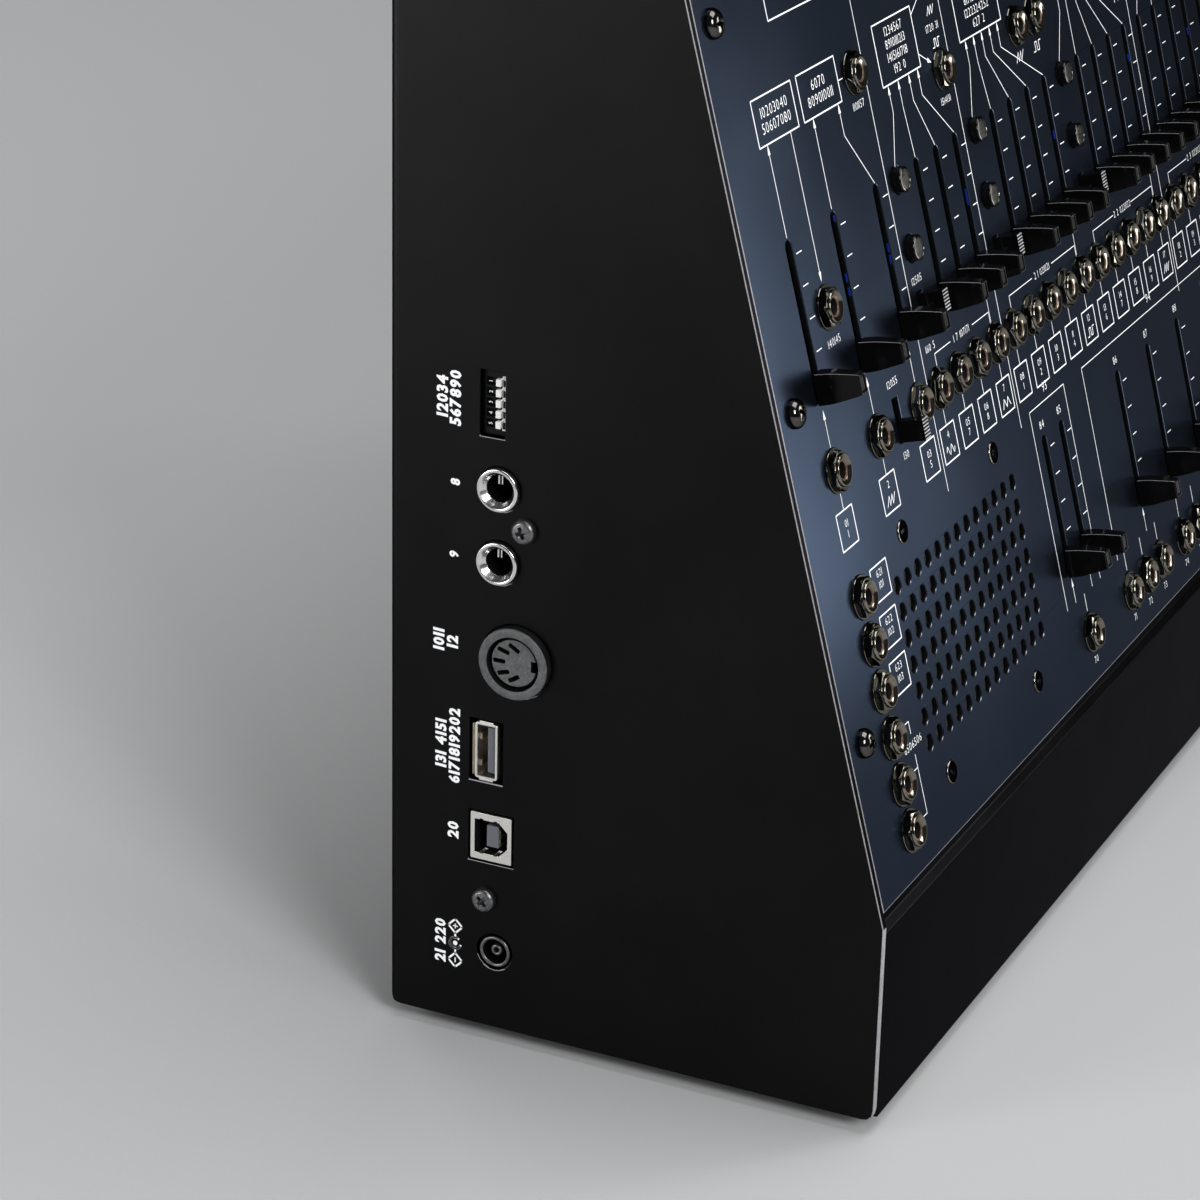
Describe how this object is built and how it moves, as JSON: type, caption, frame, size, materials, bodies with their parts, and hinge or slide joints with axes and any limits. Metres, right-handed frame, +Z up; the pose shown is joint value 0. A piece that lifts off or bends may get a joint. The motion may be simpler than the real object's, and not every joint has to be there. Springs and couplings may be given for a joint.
{
  "type": "analog synthesizer",
  "caption": "Table-top semi-modular synthesizer: sloped slate panel of patch jacks and slide controls in a black steel case with speaker grilles and side connectors.",
  "frame": {"origin": "on the resting surface, under the middle of the whole box", "axes": "+X to the viewer's right along the case, +Y to the rear, +Z up; the front panel faces -Y and leans back, and the connectors are in the -X side"},
  "size_m": [0.52, 0.1314, 0.306],
  "materials": {
    "case_paint": "fine-textured black powder coat",
    "panel_paint": "satin slate blue-grey with a fine speckle and white screen print",
    "cap_plastic": "black moulded caps, glossy on top",
    "switch_plastic": "black moulded plastic",
    "connector_plastic": "black moulded plastic",
    "white_plastic": "white moulded plastic",
    "nickel": "warm nickel plate, bright on edges",
    "circuit_board": "green solder mask",
    "speaker": "dark pulp cone in a pressed steel frame",
    "rubber": "black matt rubber"
  },
  "bodies": {
    "synthesizer": {"case_shell": "case_paint", "base_tray": "case_paint", "front_panel": "panel_paint", "control_board": "circuit_board", "left_speaker": "speaker", "right_speaker": "speaker", "io_board": "circuit_board", "left_output_jack": "connector_plastic", "right_output_jack": "connector_plastic", "din_socket": "connector_plastic", "host_socket": "nickel", "device_socket": "nickel", "power_inlet": "connector_plastic", "front_left_foot": "rubber", "rear_left_foot": "rubber", "front_right_foot": "rubber", "rear_right_foot": "rubber"},
    "envelope_follower_slider": {"envelope_follower_slider": "cap_plastic"},
    "ring_modulator_slider_1": {"ring_modulator_slider_1": "cap_plastic"},
    "ring_modulator_slider_2": {"ring_modulator_slider_2": "cap_plastic"},
    "oscillator_1_slider_1": {"oscillator_1_slider_1": "cap_plastic"},
    "oscillator_1_slider_2": {"oscillator_1_slider_2": "cap_plastic"},
    "oscillator_1_slider_3": {"oscillator_1_slider_3": "cap_plastic"},
    "oscillator_2_slider_1": {"oscillator_2_slider_1": "cap_plastic"},
    "oscillator_2_slider_2": {"oscillator_2_slider_2": "cap_plastic"},
    "oscillator_2_slider_3": {"oscillator_2_slider_3": "cap_plastic"},
    "oscillator_2_slider_4": {"oscillator_2_slider_4": "cap_plastic"},
    "oscillator_3_slider_1": {"oscillator_3_slider_1": "cap_plastic"},
    "oscillator_3_slider_2": {"oscillator_3_slider_2": "cap_plastic"},
    "oscillator_3_slider_3": {"oscillator_3_slider_3": "cap_plastic"},
    "oscillator_3_slider_4": {"oscillator_3_slider_4": "cap_plastic"},
    "filter_slider_1": {"filter_slider_1": "cap_plastic"},
    "filter_slider_2": {"filter_slider_2": "cap_plastic"},
    "filter_slider_3": {"filter_slider_3": "cap_plastic"},
    "filter_slider_4": {"filter_slider_4": "cap_plastic"},
    "filter_slider_5": {"filter_slider_5": "cap_plastic"},
    "filter_slider_6": {"filter_slider_6": "cap_plastic"},
    "filter_slider_7": {"filter_slider_7": "cap_plastic"},
    "envelope_slider_1": {"envelope_slider_1": "cap_plastic"},
    "envelope_slider_2": {"envelope_slider_2": "cap_plastic"},
    "amplifier_slider_1": {"amplifier_slider_1": "cap_plastic"},
    "amplifier_slider_2": {"amplifier_slider_2": "cap_plastic"},
    "amplifier_slider_3": {"amplifier_slider_3": "cap_plastic"},
    "amplifier_slider_4": {"amplifier_slider_4": "cap_plastic"},
    "mixer_slider_1": {"mixer_slider_1": "cap_plastic"},
    "mixer_slider_2": {"mixer_slider_2": "cap_plastic"},
    "ring_modulator_switch": {"ring_modulator_switch": "switch_plastic"},
    "oscillator_1_switch": {"oscillator_1_switch": "switch_plastic"},
    "oscillator_2_switch": {"oscillator_2_switch": "switch_plastic"},
    "oscillator_1_button_upper": {"oscillator_1_button_upper": "switch_plastic"},
    "oscillator_1_button_lower": {"oscillator_1_button_lower": "switch_plastic"},
    "oscillator_2_button_upper": {"oscillator_2_button_upper": "switch_plastic"},
    "oscillator_2_button_lower": {"oscillator_2_button_lower": "switch_plastic"},
    "manual_start_button": {"manual_start_button": "white_plastic"},
    "power_toggle": {"power_toggle": "nickel"},
    "small_lever_1": {"small_lever_1": "white_plastic"},
    "small_lever_2": {"small_lever_2": "white_plastic"},
    "small_lever_3": {"small_lever_3": "white_plastic"},
    "small_lever_4": {"small_lever_4": "white_plastic"},
    "small_lever_5": {"small_lever_5": "white_plastic"}
  },
  "joints": [
    {"name": "envelope_follower_slider_travel", "type": "slide", "parent": "synthesizer", "child": "envelope_follower_slider", "axis": [0, 0.2605, 0.9655], "range_m": [0, 0.0304]},
    {"name": "ring_modulator_slider_1_travel", "type": "slide", "parent": "synthesizer", "child": "ring_modulator_slider_1", "axis": [0, 0.2605, 0.9655], "range_m": [0, 0.0304]},
    {"name": "ring_modulator_slider_2_travel", "type": "slide", "parent": "synthesizer", "child": "ring_modulator_slider_2", "axis": [0, 0.2605, 0.9655], "range_m": [0, 0.0304]},
    {"name": "oscillator_1_slider_1_travel", "type": "slide", "parent": "synthesizer", "child": "oscillator_1_slider_1", "axis": [0, 0.2605, 0.9655], "range_m": [0, 0.0304]},
    {"name": "oscillator_1_slider_2_travel", "type": "slide", "parent": "synthesizer", "child": "oscillator_1_slider_2", "axis": [0, 0.2605, 0.9655], "range_m": [0, 0.0304]},
    {"name": "oscillator_1_slider_3_travel", "type": "slide", "parent": "synthesizer", "child": "oscillator_1_slider_3", "axis": [0, 0.2605, 0.9655], "range_m": [0, 0.0304]},
    {"name": "oscillator_2_slider_1_travel", "type": "slide", "parent": "synthesizer", "child": "oscillator_2_slider_1", "axis": [0, 0.2605, 0.9655], "range_m": [0, 0.0304]},
    {"name": "oscillator_2_slider_2_travel", "type": "slide", "parent": "synthesizer", "child": "oscillator_2_slider_2", "axis": [0, 0.2605, 0.9655], "range_m": [0, 0.0304]},
    {"name": "oscillator_2_slider_3_travel", "type": "slide", "parent": "synthesizer", "child": "oscillator_2_slider_3", "axis": [0, 0.2605, 0.9655], "range_m": [0, 0.0304]},
    {"name": "oscillator_2_slider_4_travel", "type": "slide", "parent": "synthesizer", "child": "oscillator_2_slider_4", "axis": [0, 0.2605, 0.9655], "range_m": [0, 0.0304]},
    {"name": "oscillator_3_slider_1_travel", "type": "slide", "parent": "synthesizer", "child": "oscillator_3_slider_1", "axis": [0, 0.2605, 0.9655], "range_m": [0, 0.0304]},
    {"name": "oscillator_3_slider_2_travel", "type": "slide", "parent": "synthesizer", "child": "oscillator_3_slider_2", "axis": [0, 0.2605, 0.9655], "range_m": [0, 0.0304]},
    {"name": "oscillator_3_slider_3_travel", "type": "slide", "parent": "synthesizer", "child": "oscillator_3_slider_3", "axis": [0, 0.2605, 0.9655], "range_m": [0, 0.0304]},
    {"name": "oscillator_3_slider_4_travel", "type": "slide", "parent": "synthesizer", "child": "oscillator_3_slider_4", "axis": [0, 0.2605, 0.9655], "range_m": [0, 0.0304]},
    {"name": "filter_slider_1_travel", "type": "slide", "parent": "synthesizer", "child": "filter_slider_1", "axis": [0, 0.2605, 0.9655], "range_m": [0, 0.0304]},
    {"name": "filter_slider_2_travel", "type": "slide", "parent": "synthesizer", "child": "filter_slider_2", "axis": [0, 0.2605, 0.9655], "range_m": [0, 0.0304]},
    {"name": "filter_slider_3_travel", "type": "slide", "parent": "synthesizer", "child": "filter_slider_3", "axis": [0, 0.2605, 0.9655], "range_m": [0, 0.0304]},
    {"name": "filter_slider_4_travel", "type": "slide", "parent": "synthesizer", "child": "filter_slider_4", "axis": [0, 0.2605, 0.9655], "range_m": [0, 0.0304]},
    {"name": "filter_slider_5_travel", "type": "slide", "parent": "synthesizer", "child": "filter_slider_5", "axis": [0, 0.2605, 0.9655], "range_m": [0, 0.0304]},
    {"name": "filter_slider_6_travel", "type": "slide", "parent": "synthesizer", "child": "filter_slider_6", "axis": [0, 0.2605, 0.9655], "range_m": [0, 0.0304]},
    {"name": "filter_slider_7_travel", "type": "slide", "parent": "synthesizer", "child": "filter_slider_7", "axis": [0, 0.2605, 0.9655], "range_m": [0, 0.0304]},
    {"name": "envelope_slider_1_travel", "type": "slide", "parent": "synthesizer", "child": "envelope_slider_1", "axis": [0, 0.2605, 0.9655], "range_m": [0, 0.0304]},
    {"name": "envelope_slider_2_travel", "type": "slide", "parent": "synthesizer", "child": "envelope_slider_2", "axis": [0, 0.2605, 0.9655], "range_m": [0, 0.0304]},
    {"name": "amplifier_slider_1_travel", "type": "slide", "parent": "synthesizer", "child": "amplifier_slider_1", "axis": [0, 0.2605, 0.9655], "range_m": [0, 0.0304]},
    {"name": "amplifier_slider_2_travel", "type": "slide", "parent": "synthesizer", "child": "amplifier_slider_2", "axis": [0, 0.2605, 0.9655], "range_m": [0, 0.0304]},
    {"name": "amplifier_slider_3_travel", "type": "slide", "parent": "synthesizer", "child": "amplifier_slider_3", "axis": [0, 0.2605, 0.9655], "range_m": [0, 0.0304]},
    {"name": "amplifier_slider_4_travel", "type": "slide", "parent": "synthesizer", "child": "amplifier_slider_4", "axis": [0, 0.2605, 0.9655], "range_m": [0, 0.0304]},
    {"name": "mixer_slider_1_travel", "type": "slide", "parent": "synthesizer", "child": "mixer_slider_1", "axis": [0, 0.2605, 0.9655], "range_m": [0, 0.0304]},
    {"name": "mixer_slider_2_travel", "type": "slide", "parent": "synthesizer", "child": "mixer_slider_2", "axis": [0, 0.2605, 0.9655], "range_m": [0, 0.0304]},
    {"name": "ring_modulator_switch_travel", "type": "slide", "parent": "synthesizer", "child": "ring_modulator_switch", "axis": [0, 0.2605, 0.9655], "range_m": [0, 0.0052]},
    {"name": "oscillator_1_switch_travel", "type": "slide", "parent": "synthesizer", "child": "oscillator_1_switch", "axis": [0, 0.2605, 0.9655], "range_m": [-0.0052, 0]},
    {"name": "oscillator_2_switch_travel", "type": "slide", "parent": "synthesizer", "child": "oscillator_2_switch", "axis": [0, 0.2605, 0.9655], "range_m": [-0.0052, 0]},
    {"name": "oscillator_1_button_upper_press", "type": "slide", "parent": "synthesizer", "child": "oscillator_1_button_upper", "axis": [0, 0.9655, -0.2605], "range_m": [0, 0.0006], "stiffness_N_per_m": 1500, "springref_m": -0.0002},
    {"name": "oscillator_1_button_lower_press", "type": "slide", "parent": "synthesizer", "child": "oscillator_1_button_lower", "axis": [0, 0.9655, -0.2605], "range_m": [0, 0.0006], "stiffness_N_per_m": 1500, "springref_m": -0.0002},
    {"name": "oscillator_2_button_upper_press", "type": "slide", "parent": "synthesizer", "child": "oscillator_2_button_upper", "axis": [0, 0.9655, -0.2605], "range_m": [0, 0.0006], "stiffness_N_per_m": 1500, "springref_m": -0.0002},
    {"name": "oscillator_2_button_lower_press", "type": "slide", "parent": "synthesizer", "child": "oscillator_2_button_lower", "axis": [0, 0.9655, -0.2605], "range_m": [0, 0.0006], "stiffness_N_per_m": 1500, "springref_m": -0.0002},
    {"name": "manual_start_button_press", "type": "slide", "parent": "synthesizer", "child": "manual_start_button", "axis": [0, 0.9655, -0.2605], "range_m": [0, 0.0006], "stiffness_N_per_m": 1500, "springref_m": -0.0002},
    {"name": "power_toggle_throw", "type": "hinge", "parent": "synthesizer", "child": "power_toggle", "pos_m": [0.23546, -0.0552, 0.06867], "axis": [1, 0, 0], "range_deg": [-24, 0]},
    {"name": "small_lever_1_travel", "type": "slide", "parent": "synthesizer", "child": "small_lever_1", "axis": [0, 1, 0], "range_m": [0, 0.0022]},
    {"name": "small_lever_2_travel", "type": "slide", "parent": "synthesizer", "child": "small_lever_2", "axis": [0, 1, 0], "range_m": [0, 0.0022]},
    {"name": "small_lever_3_travel", "type": "slide", "parent": "synthesizer", "child": "small_lever_3", "axis": [0, 1, 0], "range_m": [0, 0.0022]},
    {"name": "small_lever_4_travel", "type": "slide", "parent": "synthesizer", "child": "small_lever_4", "axis": [0, 1, 0], "range_m": [0, 0.0022]},
    {"name": "small_lever_5_travel", "type": "slide", "parent": "synthesizer", "child": "small_lever_5", "axis": [0, 1, 0], "range_m": [0, 0.0022]}
  ]
}
